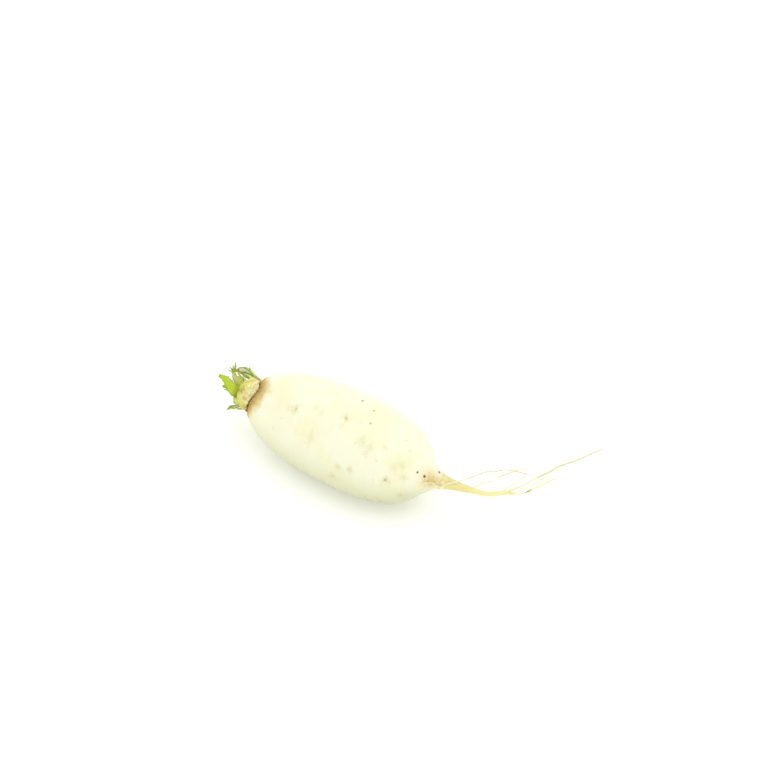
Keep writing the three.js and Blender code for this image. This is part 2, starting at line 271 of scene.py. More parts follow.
# the mesh: 280 points round each ring, and rings closest together in the knob, the crease and the cone
COLUMNS = 280
s = np.concatenate([
    -KNOB_LENGTH + 14 * np.linspace(0, 1, 54) ** 1.7,
    np.arange(-1.3, 26, 0.34),
    np.linspace(26, 157, 104),
    np.linspace(158, 200, 62),
    np.linspace(201.5, 279.7, 42),
])[:, None]
turn = np.radians(-90 + 360 * np.arange(COLUMNS) / COLUMNS)[None, :]
degrees = np.degrees(turn) % 360
s, turn, degrees = np.broadcast_arrays(s, turn, degrees)
edge = crease_at(turn)
past = s - edge  # beyond the crease, mm
plain = body_radius(s, turn)

# masks of what covers the skin: 1 where it does, 0 where it doesn't
on_body = ease(0.5, 12, past) * (1 - ease(150, 175, s))
on_knob = 1 - ease(-0.8, 0.3, past)
on_tail = ease(168, 174, s + 1.2 * rolling(s, turn, 5, 8, 9))

# the body: shallow swells and rings that run round it, as it grew
lift = 0.12 * on_body * rolling(s, turn, 11, 26, 2) + 0.05 * on_body * rolling(s, turn, 12, 11, 3)
rings = np.clip(rolling(s, turn, 13, 4.5, 3) - 1, 0, None)
lift = lift - 0.04 * on_body * rings

# the shoulder: fine folds that run out of the crease, and fade over a centimetre
folds = rolling(s, turn, 21, 30, 60)
lift = lift + 0.28 * folds * np.exp(-np.clip(past, 0, None) / 5) * ease(-0.5, 1, past)

# and withered matter fills the crease at its low end
filling = np.exp(-((past - 0.8) / 2.2) ** 2 - ((degrees - 206) / 14) ** 2)
lift = lift + 2.6 * filling

# the knob: overlapping leaf bases, each a plate with a rounded lower edge: middle (degrees), half width
# (degrees), how far its edge is short of the crease (mm), and height (mm)
LEAF_BASES = [
    (34, 23, 2.6, 0.8), (72, 19, 3.4, 0.7), (101, 16, 7, 0.6), (128, 24, 6.6, 0.9), (158, 17, 5.2, 0.6),
    (187, 21, 1.8, 0.8), (220, 15, 3.2, 0.7), (243, 15, 2, 0.7), (272, 19, 1.8, 0.8), (306, 21, 2, 0.9),
    (346, 22, 2.2, 0.9), (8, 13, 6, 0.5),
]
plates = np.zeros(s.shape)
for middle, half, short, height in LEAF_BASES:
    off = ((degrees - middle + 180) % 360 - 180) / half
    plate = ease(0, 0.9, -past - short - 2.2 * off ** 2) * (1 - ease(0.86, 1.04, np.abs(off)))
    plates = np.maximum(plates, height * plate)
tip_fade = ease(1.5, 9, plain)
cork = rolling(s, turn, 31, 2.6, 34)
BETWEEN = 0.6  # how deep the knob lies between its plates, mm
lift = lift + on_knob * tip_fade * (plates - BETWEEN + 0.14 * cork + 0.1 * rolling(s, turn, 32, 9, 50))
lift = lift - 0.9 * on_knob * tip_fade * np.exp(-((degrees - 228) / 24) ** 2)
plate_edges = on_knob * tip_fade * ease(0.05, 0.3, plates) * (1 - ease(0.35, 0.6, plates))

# seams between leaf bases, and cracks: from, to (mm along, degrees), half width and depth (mm), and stain
SEAMS = [
    (-12.9, 102, -5, 94, 0.5, 0.5, 0.55), (-5, 94, -2, 82, 0.6, 0.5, 0.7),
    (-7.7, 111, -4.6, 125, 0.45, 0.5, 0.5), (-4.6, 125, -6.5, 137, 0.9, 0.4, 0.75),
    (-6.5, 137, -9, 152, 0.5, 0.3, 0.35), (-3, 128, 1.5, 112, 0.5, 0.35, 0.4),
    (1.5, 112, 2.2, 100, 0.5, 0.35, 0.4), (-3, 128, -2.6, 150, 0.5, 0.3, 0.35),
    (-9, 20, -2, 12, 0.5, 0.5, 0.5), (-10, 330, -3, 325, 0.5, 0.5, 0.5),
    (-9, 288, -2, 290, 0.5, 0.5, 0.5), (-8, 256, -1, 258, 0.5, 0.4, 0.5),
    (-9, 205, -2, 203, 0.5, 0.4, 0.4), (-9, 55, -1, 52, 0.5, 0.5, 0.5),
    (-7.7, 116, -6.9, 133, 0.5, 0.3, 0.6), (-2.5, 148, 0.6, 150, 0.9, 0.4, 0.7),
]
seams = np.zeros(s.shape)
for s_from, from_degrees, s_to, to_degrees, half, deep, stain in SEAMS:
    # from the seam's start, how far along and round the knob each place lies, and the seam's end
    onward = s - s_from
    sideways = np.radians((degrees - from_degrees + 180) % 360 - 180) * KNOB_RADIUS
    run = s_to - s_from
    rise = np.radians((to_degrees - from_degrees + 180) % 360 - 180) * KNOB_RADIUS
    share = np.clip((onward * run + sideways * rise) / (run ** 2 + rise ** 2), 0, 1)
    off = np.hypot(onward - share * run, sideways - share * rise) / half
    lift = lift - deep * np.exp(-off ** 2)
    seams = np.maximum(seams, stain * np.exp(-0.8 * off ** 2))

# the tail: wrinkles round the cone, and furrows along the taproot
cone = ease(158, 166, s) * (1 - ease(188, 205, s))
lift = lift + 0.08 * cone * rolling(s, turn, 41, 3.2, 4)
lift = lift + plain * on_tail * (0.05 * rolling(s, turn, 42, 40, 6) + 0.018 * rolling(s, turn, 43, 7, 2))

# scars where side roots broke off: place (mm along, degrees), half size (mm along and round), how tan, and
# how dark in the middle
SCARS = [
    (54, 124, 3, 3.8, 0.85, 0.06), (51, 127, 2.6, 3.2, 0.6, 0), (95, 110, 2.8, 3.2, 0.9, 0.12),
    (95, 120, 2.8, 3.4, 0.4, 0), (69, 114, 3.4, 3.6, 0.35, 0), (75, 116, 2.8, 3.4, 0.35, 0),
    (75.5, 151, 2.2, 6.5, 0.45, 0), (115, 126, 3.8, 5.4, 0.5, 0), (122, 129, 3.2, 4.6, 0.55, 0),
    (121, 137, 2.6, 3, 0.45, 0), (132, 120, 2.2, 2.6, 0.45, 0), (104, 166, 2.6, 2.8, 0.85, 0),
    (113, 164, 3, 3.2, 0.85, 0), (100, 182, 2.8, 3.6, 0.95, 0.05), (97, 185, 2.4, 2.8, 0.8, 0),
    (140, 162, 2.8, 3.2, 0.9, 0.16), (150, 152, 2.4, 3.2, 0.6, 0), (147, 132, 2.6, 3.2, 0.5, 0),
    (149, 194, 2.6, 3.4, 1, 0.05), (124, 208, 3, 6, 0.9, 0.05), (134, 209, 3.4, 5, 1, 0.12),
    (88, 204, 2.2, 3, 0.6, 0), (62, 196, 2, 3, 0.35, 0), (40, 160, 1.6, 2, 0.35, 0),
    (143, 140, 3, 4, 0.4, 0), (58, 306, 2.6, 3.4, 0.9, 0.12), (79, 301, 2.2, 2.6, 0.7, 0.05),
    (97, 308, 2.6, 3.4, 0.9, 0.16), (118, 303, 2.4, 3.8, 0.8, 0.05), (137, 309, 2, 2.6, 1, 0.2),
    (66, 20, 2, 3, 0.5, 0), (84, 344, 1.8, 2.2, 0.6, 0.1), (108, 12, 2.4, 3.6, 0.5, 0),
    (126, 30, 2, 2.6, 0.6, 0.1), (143, 2, 2, 3, 0.7, 0.1), (46, 262, 2, 3.4, 0.6, 0),
    (90, 248, 2.4, 4, 0.6, 0), (128, 262, 2.2, 3, 0.6, 0.1), (149, 240, 2.2, 2.8, 0.7, 0.12),
    (110, 232, 3, 7, 0.6, 0),
]
scars = np.zeros(s.shape)
dark = np.zeros(s.shape)
for middle, around, long, wide, tan_part, dark_part in SCARS:
    sideways = np.radians((degrees - around + 180) % 360 - 180) * plain
    ragged = 1 + 0.2 * rolling(s, turn, int(10 * middle), 4, 26)
    off = np.hypot((s - middle) / long, sideways / wide) * ragged
    scars = np.maximum(scars, tan_part * np.exp(-1.4 * off ** 2))
    dark = np.maximum(dark, dark_part * np.exp(-9 * off ** 2))
    lift = lift - (0.08 + 0.22 * tan_part * np.exp(-4 * off ** 2)) * np.exp(-1.4 * off ** 2)

# soil and cork in the neck crease: darkest in the fold, where the dark is partly painted shade under the
# overhanging collar, brown beside it, and tan that runs out over the shoulder in soft streaks for up to two
# centimetres; most of it where the collar overhangs. For each turn (degrees): how strong it is, how far it
# reaches (mm), and how dark the fold is
SOIL_STRENGTH = np.array([
    (0, 0.6), (40, 0.8), (70, 0.85), (100, 0.95), (120, 1.1), (160, 1.15), (205, 1), (240, 0.5), (360, 0.6),
])
SOIL_REACH = np.array([
    (0, 7), (45, 6), (75, 9), (95, 14), (115, 19), (140, 19), (165, 14), (190, 9), (230, 6), (360, 7),
])
FOLD_SOIL_AND_SHADE = np.array([
    (0, 0.6), (88, 0.6), (98, 0.8), (108, 1.5), (145, 1.5), (165, 1.1), (205, 0.8), (240, 0.5), (360, 0.6),
])
streaks = rolling(s, turn, 22, 22, 42)
blotches = rolling(s, turn, 23, 9, 14)
strength = np.interp(degrees, *SOIL_STRENGTH.T)
far = np.clip(past, 0, None) / np.interp(degrees, *SOIL_REACH.T)
far = far + (0.05 * streaks + 0.03 * blotches) * ease(0, 0.3, far)
soil = strength * (1 - ease(0.16, 1.1, far)) * (1 + 0.1 * streaks) * ease(-1, 0.3, past)
low_end = np.exp(-((degrees - 200) / 26) ** 2)
soil = np.maximum(soil, 0.9 * low_end * ease(-4, -1, past) * ease(8, 2, past))
# the fold's darkness: real soil, and painted shade under the overhanging collar
fold_soil_and_shade = np.interp(degrees, *FOLD_SOIL_AND_SHADE.T) * np.exp(-((past - 0.4) / 0.85) ** 2)
dark = np.maximum(dark, fold_soil_and_shade * (0.85 + 0.15 * streaks))
dark = np.maximum(dark, 0.5 * filling)

# the knob turns green towards the leaves; its right side is less so there, but green down to the crease
right_side = ease(135, 165, degrees) * ease(215, 200, degrees)
sunny = ease(1, -8, s) * (0.85 + 0.3 * rolling(s, turn, 61, 8, 6)) * (1 - 0.5 * right_side)
sunny = sunny + 0.55 * ease(150, 180, degrees) * ease(260, 235, degrees)
green = on_knob * np.clip(sunny, 0, 1)
soil = np.maximum(soil, seams * (1 - 0.6 * green))
soil = np.maximum(soil, 0.3 * plate_edges)

# a grey crescent-shaped leaf scar lies along the crease on its right side
crescent = ease(0.8, 1.8, -past) * (1 - ease(3.6, 5.6, -past))
crescent = crescent * ease(98, 112, degrees) * (1 - ease(138, 156, degrees))

# olive: painted shade in three hollows where the torn leaf grows and faintly low on the right, and real dark
# seams in the green
hollow = np.exp(-(((s + 12.5) / 3.2) ** 2 + ((degrees - 139) / 15) ** 2))
hollow = np.maximum(hollow, np.exp(-(((s + 9.8) / 1.9) ** 2 + ((degrees - 134) / 8) ** 2)))
uneven = np.exp(-(((s + 6.8) / 2.8) ** 2 + ((degrees - 132) / 11) ** 2))
hollow = np.maximum(hollow, (0.7 + 0.2 * cork) * uneven)
hollow = np.maximum(hollow, 0.25 * ease(165, 188, degrees) * ease(262, 236, degrees) * on_knob)
hollow = np.maximum(hollow, 0.8 * seams * green)

# the end of the body: a cracked brown patch above the tail, and a stained seam where the bark starts
patch = np.exp(-(((s - 165) / 6) ** 2 + ((degrees - 146) / 44) ** 2))
cracks = np.clip(rolling(s, turn, 51, 2, 14), 0, None)
soil = np.maximum(soil, patch * (0.58 + 0.14 * cracks))
soil = np.maximum(soil, 0.2 * ease(158, 168, s) * (1 - on_tail) * (0.8 + 0.5 * rolling(s, turn, 54, 6, 12)))
seam = np.exp(-((s - 170.5 - 0.8 * rolling(0, turn, 52, 9, 8)) / 1.6) ** 2)
soil = np.maximum(soil, 0.4 * seam * (0.8 + 0.4 * np.cos(turn - 2.4)))
soil = np.maximum(soil, 0.36 * on_tail * ease(206, 180, s) * (0.8 + 0.3 * rolling(s, turn, 55, 20, 7)))

# painted shade: the side that it lies on is painted a little greyer, most towards its lowest side, in place
# of the shade there
underside = on_body * ease(0.22, 0.88, (1 - np.sin(turn)) / 2)

# the taproot: bark, darker and rough where its thin end starts and at the swelling before it
swelling = np.exp(-((s - 228.5) / 2.2) ** 2)
thin_end = np.exp(-((s - 250) / 4) ** 2) * ease(-0.9, 0.3, rolling(s, turn, 53, 7, 1))
soil = np.maximum(soil, 0.25 * swelling + 0.8 * thin_end)
dark = np.maximum(dark, 0.45 * thin_end)
lift = lift + 0.3 * swelling * (0.5 + 0.5 * np.cos(turn - 2))

points = skin(s, turn, lift)


def grid_faces(rows, columns):
    """The corners of the four-sided faces of a tube of rings, each ring joined to the next and closed round.
    They look outwards where each ring turns anticlockwise about the way the rings follow each other."""
    row, column = np.meshgrid(np.arange(rows - 1), np.arange(columns), indexing="ij")
    here, beside = row * columns + column, row * columns + (column + 1) % columns
    return np.stack([here, beside, beside + columns, here + columns], -1).reshape(-1, 4)


def make_piece(name, tubes, finish, marks=None):
    """A mesh object of closed tubes that rides on the one body. Each tube is rows x columns x 3 points in mm.
    Its ends are closed across: the ring's first half is joined to its second half read backwards, in a row
    of faces. marks gives, for each name, one array of values or vectors per tube, for the material."""
    places, faces, start = [], [], 0
    for tube in tubes:
        rows, columns = tube.shape[:2]
        here = np.arange(columns // 2 - 1)
        lid = np.stack([here, here + 1, columns - 2 - here, columns - 1 - here], -1)
        faces += [grid_faces(rows, columns) + start, lid[:, ::-1] + start, lid + start + (rows - 1) * columns]
        places.append(tube.reshape(-1, 3))
        start += rows * columns
    places, faces = np.concatenate(places) / 1000, np.concatenate(faces)
    mesh = bpy.data.meshes.new(name)
    mesh.from_pydata(places.tolist(), [], faces.tolist())
    for mark, values in (marks or {}).items():
        values = [np.asarray(value, float) for value in values]
        vector = values[0].ndim == 3
        layer = mesh.attributes.new(mark, "FLOAT_VECTOR" if vector else "FLOAT", "POINT")
        layer.data.foreach_set("vector" if vector else "value", np.concatenate([v.ravel() for v in values]))
    mesh.materials.append(finish)
    mesh.shade_smooth()
    piece = bpy.data.objects.new(name, mesh)
    bpy.context.scene.collection.objects.link(piece)
    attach(piece, "root")
    return piece


# radish skin: thin, waxy and a little see-through over wet white flesh, so half glossy with a soft glow; dull
# where it is cork or bark
waxy_skin, tree, shader = new_finish("waxy_white_radish_skin", 0.4)
place = add_node(tree, "TexCoord").outputs["Object"]
straight = add_node(tree, "Attribute", attribute_name="straight").outputs["Vector"]
mark = {
    name: add_node(tree, "Attribute", attribute_name=name).outputs["Fac"]
    for name in ("soil", "scars", "dark", "green", "knob", "tail", "crescent", "olive_shade_and_seams", "underside")
}
# cloudy patches about 30 mm across, and growth rings 2 to 4 mm apart that run round the body
cloud = add_node(tree, "TexNoise", {"Vector": place, "Scale": 32.0, "Detail": 4.0})
cloudy = add_node(tree, "MapRange", {0: cloud.outputs["Fac"], 1: 0.45, 2: 0.7, 3: 0.0, 4: 0.9})
long_way = add_node(tree, "Mapping", {"Vector": straight, "Scale": (330.0, 60.0, 60.0)})
ring = add_node(tree, "TexNoise", {"Vector": long_way.outputs[0], "Scale": 1.0, "Detail": 3.0})
ringed = add_node(tree, "MapRange", {0: ring.outputs["Fac"], 1: 0.55, 2: 0.8, 3: 0.0, 4: 0.22})
# the corky knob: beige, speckled at about 1.5 mm and mottled with brown at about 3 mm
speck = add_node(tree, "TexNoise", {"Vector": place, "Scale": 650.0, "Detail": 4.0})
speckled = add_node(tree, "MapRange", {0: speck.outputs["Fac"], 1: 0.4, 2: 0.62, 3: 0.0, 4: 1.0})
mottle = add_node(tree, "TexNoise", {"Vector": place, "Scale": 300.0, "Detail": 4.0})
mottled = add_node(tree, "MapRange", {0: mottle.outputs["Fac"], 1: 0.52, 2: 0.68, 3: 0.0, 4: 0.75})
beige = add_node(tree, "Mix", {0: speckled.outputs[0], 6: linear("#fdf7b8"), 7: linear("#e2d68c")},
                 data_type="RGBA")
beige = add_node(tree, "Mix", {0: mottled.outputs[0], 6: beige.outputs[2], 7: linear("#cfc27c")},
                 data_type="RGBA")
# the taproot's bark: straw yellow, paler along its length in streaks
streak = add_node(tree, "Mapping", {"Vector": straight, "Scale": (60.0, 500.0, 500.0)})
straw = add_node(tree, "TexNoise", {"Vector": streak.outputs[0], "Scale": 1.0, "Detail": 3.0})
bark = add_node(tree, "Mix", {0: straw.outputs["Fac"], 6: linear("#f5f2bc"), 7: linear("#eae29e")},
                data_type="RGBA")
# the grey leaf scar is broken up by the same speckle
grey = add_node(tree, "Math", {0: mark["crescent"], 1: speck.outputs["Fac"]}, operation="MULTIPLY",
                use_clamp=True)
# scars: yellowish tan, broken up at about 1 mm, with a few stray specks between them
grit = add_node(tree, "TexNoise", {"Vector": place, "Scale": 900.0, "Detail": 5.0})
gritty = add_node(tree, "MapRange", {0: grit.outputs["Fac"], 1: 0.3, 2: 0.7, 3: 0.75, 4: 1.2})
patchy = add_node(tree, "MapRange", {0: grit.outputs["Fac"], 1: 0.36, 2: 0.62, 3: 0.25, 4: 0.9})
specks = add_node(tree, "TexNoise", {"Vector": place, "Scale": 420.0, "Detail": 1.0})
stray = add_node(tree, "MapRange", {0: specks.outputs["Fac"], 1: 0.7, 2: 0.78, 3: 0.0, 4: 0.35})
scarred = add_node(tree, "Math", {0: mark["scars"], 1: patchy.outputs[0], 2: stray.outputs[0]},
                   operation="MULTIPLY_ADD", use_clamp=True)
# soil: warm tan where thin, brown where thick, and dark where it is packed in folds and cracks; in the neck
# crease that dark is partly painted shade
soiled = add_node(tree, "Math", {0: mark["soil"], 1: gritty.outputs[0]}, operation="MULTIPLY")
tan = add_node(tree, "MapRange", {0: soiled.outputs[0], 1: 0.02, 2: 0.62, 3: 0.0, 4: 1.0})
brown = add_node(tree, "MapRange", {0: soiled.outputs[0], 1: 0.55, 2: 1.1, 3: 0.0, 4: 1.0})
dark_soil_and_crease_shade = add_node(tree, "Math", {0: mark["dark"], 1: gritty.outputs[0]}, operation="MULTIPLY", use_clamp=True)
# what covers the cream-white flesh, layer over layer: how much of it there is, and its colour
layers = [
    (cloudy.outputs[0], linear("#f5f2c6")),
    (ringed.outputs[0], linear("#efecc0")),
    # painted shade on the side the root lies on
    (mark["underside"], linear("#ced2aa")),
    (mark["knob"], beige.outputs[2]),
    (mark["tail"], bark.outputs[2]),
    (mark["green"], linear("#d8d964")),
    (grey.outputs[0], linear("#cdc69c")),
    (scarred.outputs[0], linear("#d2c888")),
    (tan.outputs[0], linear("#e1c880")),
    (brown.outputs[0], linear("#b08f4c")),
    # olive painted shade in the hollows, over the real dark seams
    (mark["olive_shade_and_seams"], linear("#8a8c12")),
    (dark_soil_and_crease_shade.outputs[0], linear("#452900")),
]
# crisp dots over it all: breathing pores and pinholes: place (mm along, degrees), radius (mm) and colour
PORES = [
    (156, 132, 0.75, "#1c1404"), (160.3, 136, 0.88, "#140e00"), (167, 80, 0.8, "#4a3d1c"),
    (95, 78, 0.85, "#858050"), (108, 84, 0.8, "#bab687"), (113, 102, 0.8, "#bab687"),
    (69, 52, 0.7, "#a39a64"), (49, 72, 0.5, "#c9c390"), (141, 94, 0.4, "#c9c68e"),
    (95, 110, 0.6, "#b39a5c"), (140, 162, 0.55, "#96823e"), (54, 124, 0.5, "#c4a868"),
    (101, 330, 0.6, "#8f8a5c"), (130, 340, 0.6, "#5a4a2a"), (72, 285, 0.6, "#8f8a5c"),
    (152, 300, 0.7, "#3a2e1a"), (120, 50, 0.5, "#bab687"), (85, 230, 0.6, "#8f8a5c"),
    (155, 20, 0.6, "#4a3d22"), (110, 200, 0.5, "#bab687"),
]
for at, around, size, colour in PORES:
    middle = skin(np.array(float(at)), np.radians(float(around))) / 1000
    off = add_node(tree, "VectorMath", {0: place, 1: tuple(middle.tolist())}, operation="DISTANCE")
    outer = size * 1.5e-3
    inner = size * 0.6e-3
    dot = add_node(tree, "MapRange", {0: off.outputs["Value"], 1: outer, 2: inner, 3: 0.0, 4: 0.9})
    layers.append((dot.outputs[0], linear(colour)))
tone = linear("#f8f7dc")
for amount, colour in layers:
    tone = add_node(tree, "Mix", {0: amount, 6: tone, 7: colour}, data_type="RGBA").outputs[2]
tree.links.new(tone, shader.inputs["Base Color"])
# gloss: waxy on the body, dull on cork, bark and stains
dull = add_node(tree, "Math", {0: mark["knob"], 1: mark["soil"]}, operation="MAXIMUM")
dull = add_node(tree, "Math", {0: dull.outputs[0], 1: mark["tail"]}, operation="MAXIMUM", use_clamp=True)
gloss = add_node(tree, "MapRange", {0: dull.outputs[0], 3: 0.36, 4: 0.75})
tree.links.new(gloss.outputs[0], shader.inputs["Roughness"])
shader.inputs["Subsurface Weight"].default_value = 0.25
shader.inputs["Subsurface Radius"].default_value = (1.0, 0.9, 0.5)
shader.inputs["Subsurface Scale"].default_value = 0.003
shader.inputs["IOR"].default_value = 1.4
# relief too fine for the mesh: skin grain of 0.5 mm, deeper in cork
grain = add_node(tree, "TexNoise", {"Vector": place, "Scale": 1600.0, "Detail": 3.0})
rough = add_node(tree, "MapRange", {0: dull.outputs[0], 3: 0.12, 4: 0.8})
bump = add_node(tree, "Bump", {"Height": grain.outputs["Fac"], "Strength": rough.outputs[0],
                               "Distance": 0.00025})
bump = add_node(tree, "Bump", {"Height": ring.outputs["Fac"], "Strength": 0.12, "Distance": 0.0003,
                               "Normal": bump.outputs[0]})
tree.links.new(bump.outputs[0], shader.inputs["Normal"])

# places on the root as if it were a straight rod, so that the rings and streaks follow its bends
ROD = 10  # mm, the rod's radius
unrolled = np.stack([s, ROD * np.cos(turn), ROD * np.sin(turn)], -1) / 1000
marks = {
    "soil": soil, "scars": scars, "dark": np.clip(dark, 0, 1), "green": green, "knob": on_knob,
    "tail": on_tail, "crescent": crescent, "olive_shade_and_seams": 0.8 * hollow, "underside": underside,
    "straight": unrolled,
}
root = make_piece("turnip_root", [points], waxy_skin, {key: [values] for key, values in marks.items()})
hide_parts("root")


# ---- Leaf stalks, cut or torn off short -------------------------------------------------------------------
# The stumps of the outer leaves: fleshy channels with bright green skin, thin dark rims, a pale hollow side
# that faces the crown's middle, and pale ends where the knife or the hand went through.

def crown(path):
    """Places on the crown as points: (mm from the crease towards the leaves, mm from the axis, degrees)."""
    reach, out, around = np.array(path, float).T
    around = np.radians(around)
    return NECK + np.stack([-reach, out * np.cos(around), out * np.sin(around)], -1)


def leaf_tube(path, half_widths, thickness, cup, seed,
              teeth=0, torn=0, crinkle=0, ribs=0.08, rows=56, columns=22):
    """A stalk or blade as a flat closed tube, and its marks: along (0 to 1), across (-1 to 1), hollow side.

    It follows the path, half a width times v to each side. Its outer face curves back by cup times v squared,
    and its hollow face lies deeper by the thickness times 0.35 + 0.65 (1 - v squared). Ribs run along it,
    teeth notch its edges, a torn end is uneven, and a crinkle waves the whole blade."""
    rng = np.random.default_rng(seed)
    v = np.cos(np.linspace(0, np.pi, columns))
    v = np.concatenate([v, v[::-1]])[None, :]
    hollow = np.repeat([0.0, 1.0], columns)[None, :]
    share = np.linspace(0, 1, rows)[:, None]
    v, hollow, share = np.broadcast_arrays(v, hollow, share)
    uneven = 0
    for amount, pace in ((0.5, 3), (0.35, 7), (0.25, 15)):
        uneven = uneven + amount * np.sin(pace * v + rng.uniform(0, 6.3)) * rng.uniform(0.6, 1)
    at = share * (1 - torn * ease(0.35, 1, share) * (0.5 + 0.5 * uneven))
    centre, ahead, length = along_path(crown(path), at)
    outward = centre * [0, 1, 1] - NECK * [0, 1, 1]
    outward = outward - (outward * ahead).sum(-1)[..., None] * ahead
    outward = outward / np.linalg.norm(outward, axis=-1)[..., None]
    across = np.cross(outward, ahead)
    sizes = through([(i, w) for i, w in enumerate(half_widths)], at)[..., 1]
    half = np.maximum(sizes, 0.3)
    side = np.where(v > 0, 1, 2)
    notch = np.abs(np.sin(np.pi * share * (5 + 2 * side) + rng.uniform(0, 3))) ** 0.6
    notch = notch + 0.4 * np.sin(31 * share + side)
    half = half * (1 + teeth * np.abs(v) ** 3 * (0.5 - np.clip(notch, 0, 1)) * ease(0.1, 0.35, share))
    deep = hollow * thickness * (0.35 + 0.65 * (1 - v ** 2)) * (1 - 0.35 * share)
    rib = ribs * (1 - hollow) * np.cos(v * 15) * (1 - v ** 4)
    ripple = np.sin(length * at * 0.9 + 2.2 * v + seed) * np.abs(v) + 0.6 * np.sin(length * at * 1.7 - 3 * v)
    ripple = crinkle * ripple * ease(0.1, 0.5, share)
    out = thickness / 2 - cup * half / half_widths[0] * v ** 2 - deep + rib + ripple
    tube = centre + across * (half * v)[..., None] + outward * out[..., None]
    return tube, {"along": share, "across": v, "hollow": hollow}


def leaf_piece(name, grown, finish):
    """One mesh object of leaf tubes: grown holds each tube with its marks, as leaf_tube gives them."""
    marks = {key: [marks[key] for _, marks in grown] for key in ("along", "across", "hollow")}
    return make_piece(name, [tube for tube, _ in grown], finish, marks)


def leaf_finish(name, face, pale, rim, foot, roughness=0.45, foot_end=0.5):
    """Leaf tissue: one colour for the skin, a paler one for its fibres, about 0.5 mm apart, and for the
    hollow side, another for the foot up to a share of the length, and one for the rim, the end and bruised
    spots. Its cells glow a little against the light."""
    finish, tree, shader = new_finish(name, roughness)
    place = add_node(tree, "TexCoord").outputs["Object"]
    mark = {}
    for key in ("along", "across", "hollow"):
        mark[key] = add_node(tree, "Attribute", attribute_name=key).outputs["Fac"]
    patch = add_node(tree, "TexNoise", {"Vector": place, "Scale": 260.0, "Detail": 4.0})
    fibre = add_node(tree, "CombineXYZ", {"X": mark["along"], "Y": mark["across"], "Z": mark["hollow"]})
    fibre = add_node(tree, "Mapping", {"Vector": fibre.outputs[0], "Scale": (2.5, 9.0, 4.0)})
    fibre = add_node(tree, "TexNoise", {"Vector": fibre.outputs[0], "Scale": 1.0, "Detail": 3.0})
    light = add_node(tree, "MapRange", {0: fibre.outputs["Fac"], 1: 0.35, 2: 0.7, 3: 0.0, 4: 0.4})
    inner = add_node(tree, "Math", {0: mark["hollow"], 1: 0.85}, operation="MULTIPLY")
    low = add_node(tree, "MapRange", {0: mark["along"], 1: foot_end, 2: 0.3 * foot_end, 3: 0.0, 4: 0.92})
    side = add_node(tree, "Math", {0: mark["across"]}, operation="ABSOLUTE")
    side = add_node(tree, "Math", {0: mark["hollow"], 1: 0.1, 2: side.outputs[0]}, operation="MULTIPLY_ADD")
    end = add_node(tree, "MapRange", {0: mark["along"], 1: 0.78, 2: 0.96, 3: 0.0, 4: 1.0})
    side = add_node(tree, "Math", {0: side.outputs[0], 1: end.outputs[0]}, operation="MAXIMUM")
    border = add_node(tree, "MapRange", {0: side.outputs[0], 1: 0.62, 2: 0.9, 3: 0.0, 4: 0.95})
    bruise = add_node(tree, "MapRange", {0: patch.outputs["Fac"], 1: 0.6, 2: 0.75, 3: 0.0, 4: 0.45})
    tone = linear(face)
    for amount, colour in ((light, pale), (inner, pale), (low, foot), (border, rim), (bruise, rim)):
        tone = add_node(tree, "Mix", {0: amount.outputs[0], 6: tone, 7: linear(colour)},
                        data_type="RGBA").outputs[2]
    tree.links.new(tone, shader.inputs["Base Color"])
    shader.inputs["Subsurface Weight"].default_value = 0.15
    shader.inputs["Subsurface Scale"].default_value = 0.0015
    bump = add_node(tree, "Bump", {"Height": fibre.outputs["Fac"], "Strength": 0.5, "Distance": 0.0003})
    tree.links.new(bump.outputs[0], shader.inputs["Normal"])
    return finish


# fresh leaf stalk: yellow-green skin with paler ribs and white pith; its rims and torn ends are the darkest
fresh_stalk = leaf_finish("fresh_leaf_stalk", "#c8d75a", "#fffff0", "#869e10", "#dfe084", 0.45, 0.35)

# torn leaf blade: bright yellow green on both sides, a little darker at the rim, and olive painted shade at
# its foot, in the hollow by the knob
torn_blade = leaf_finish("torn_leaf_blade", "#b6ce22", "#c3d43a", "#8fae12", "#a6aa0c", 0.45, 0.24)

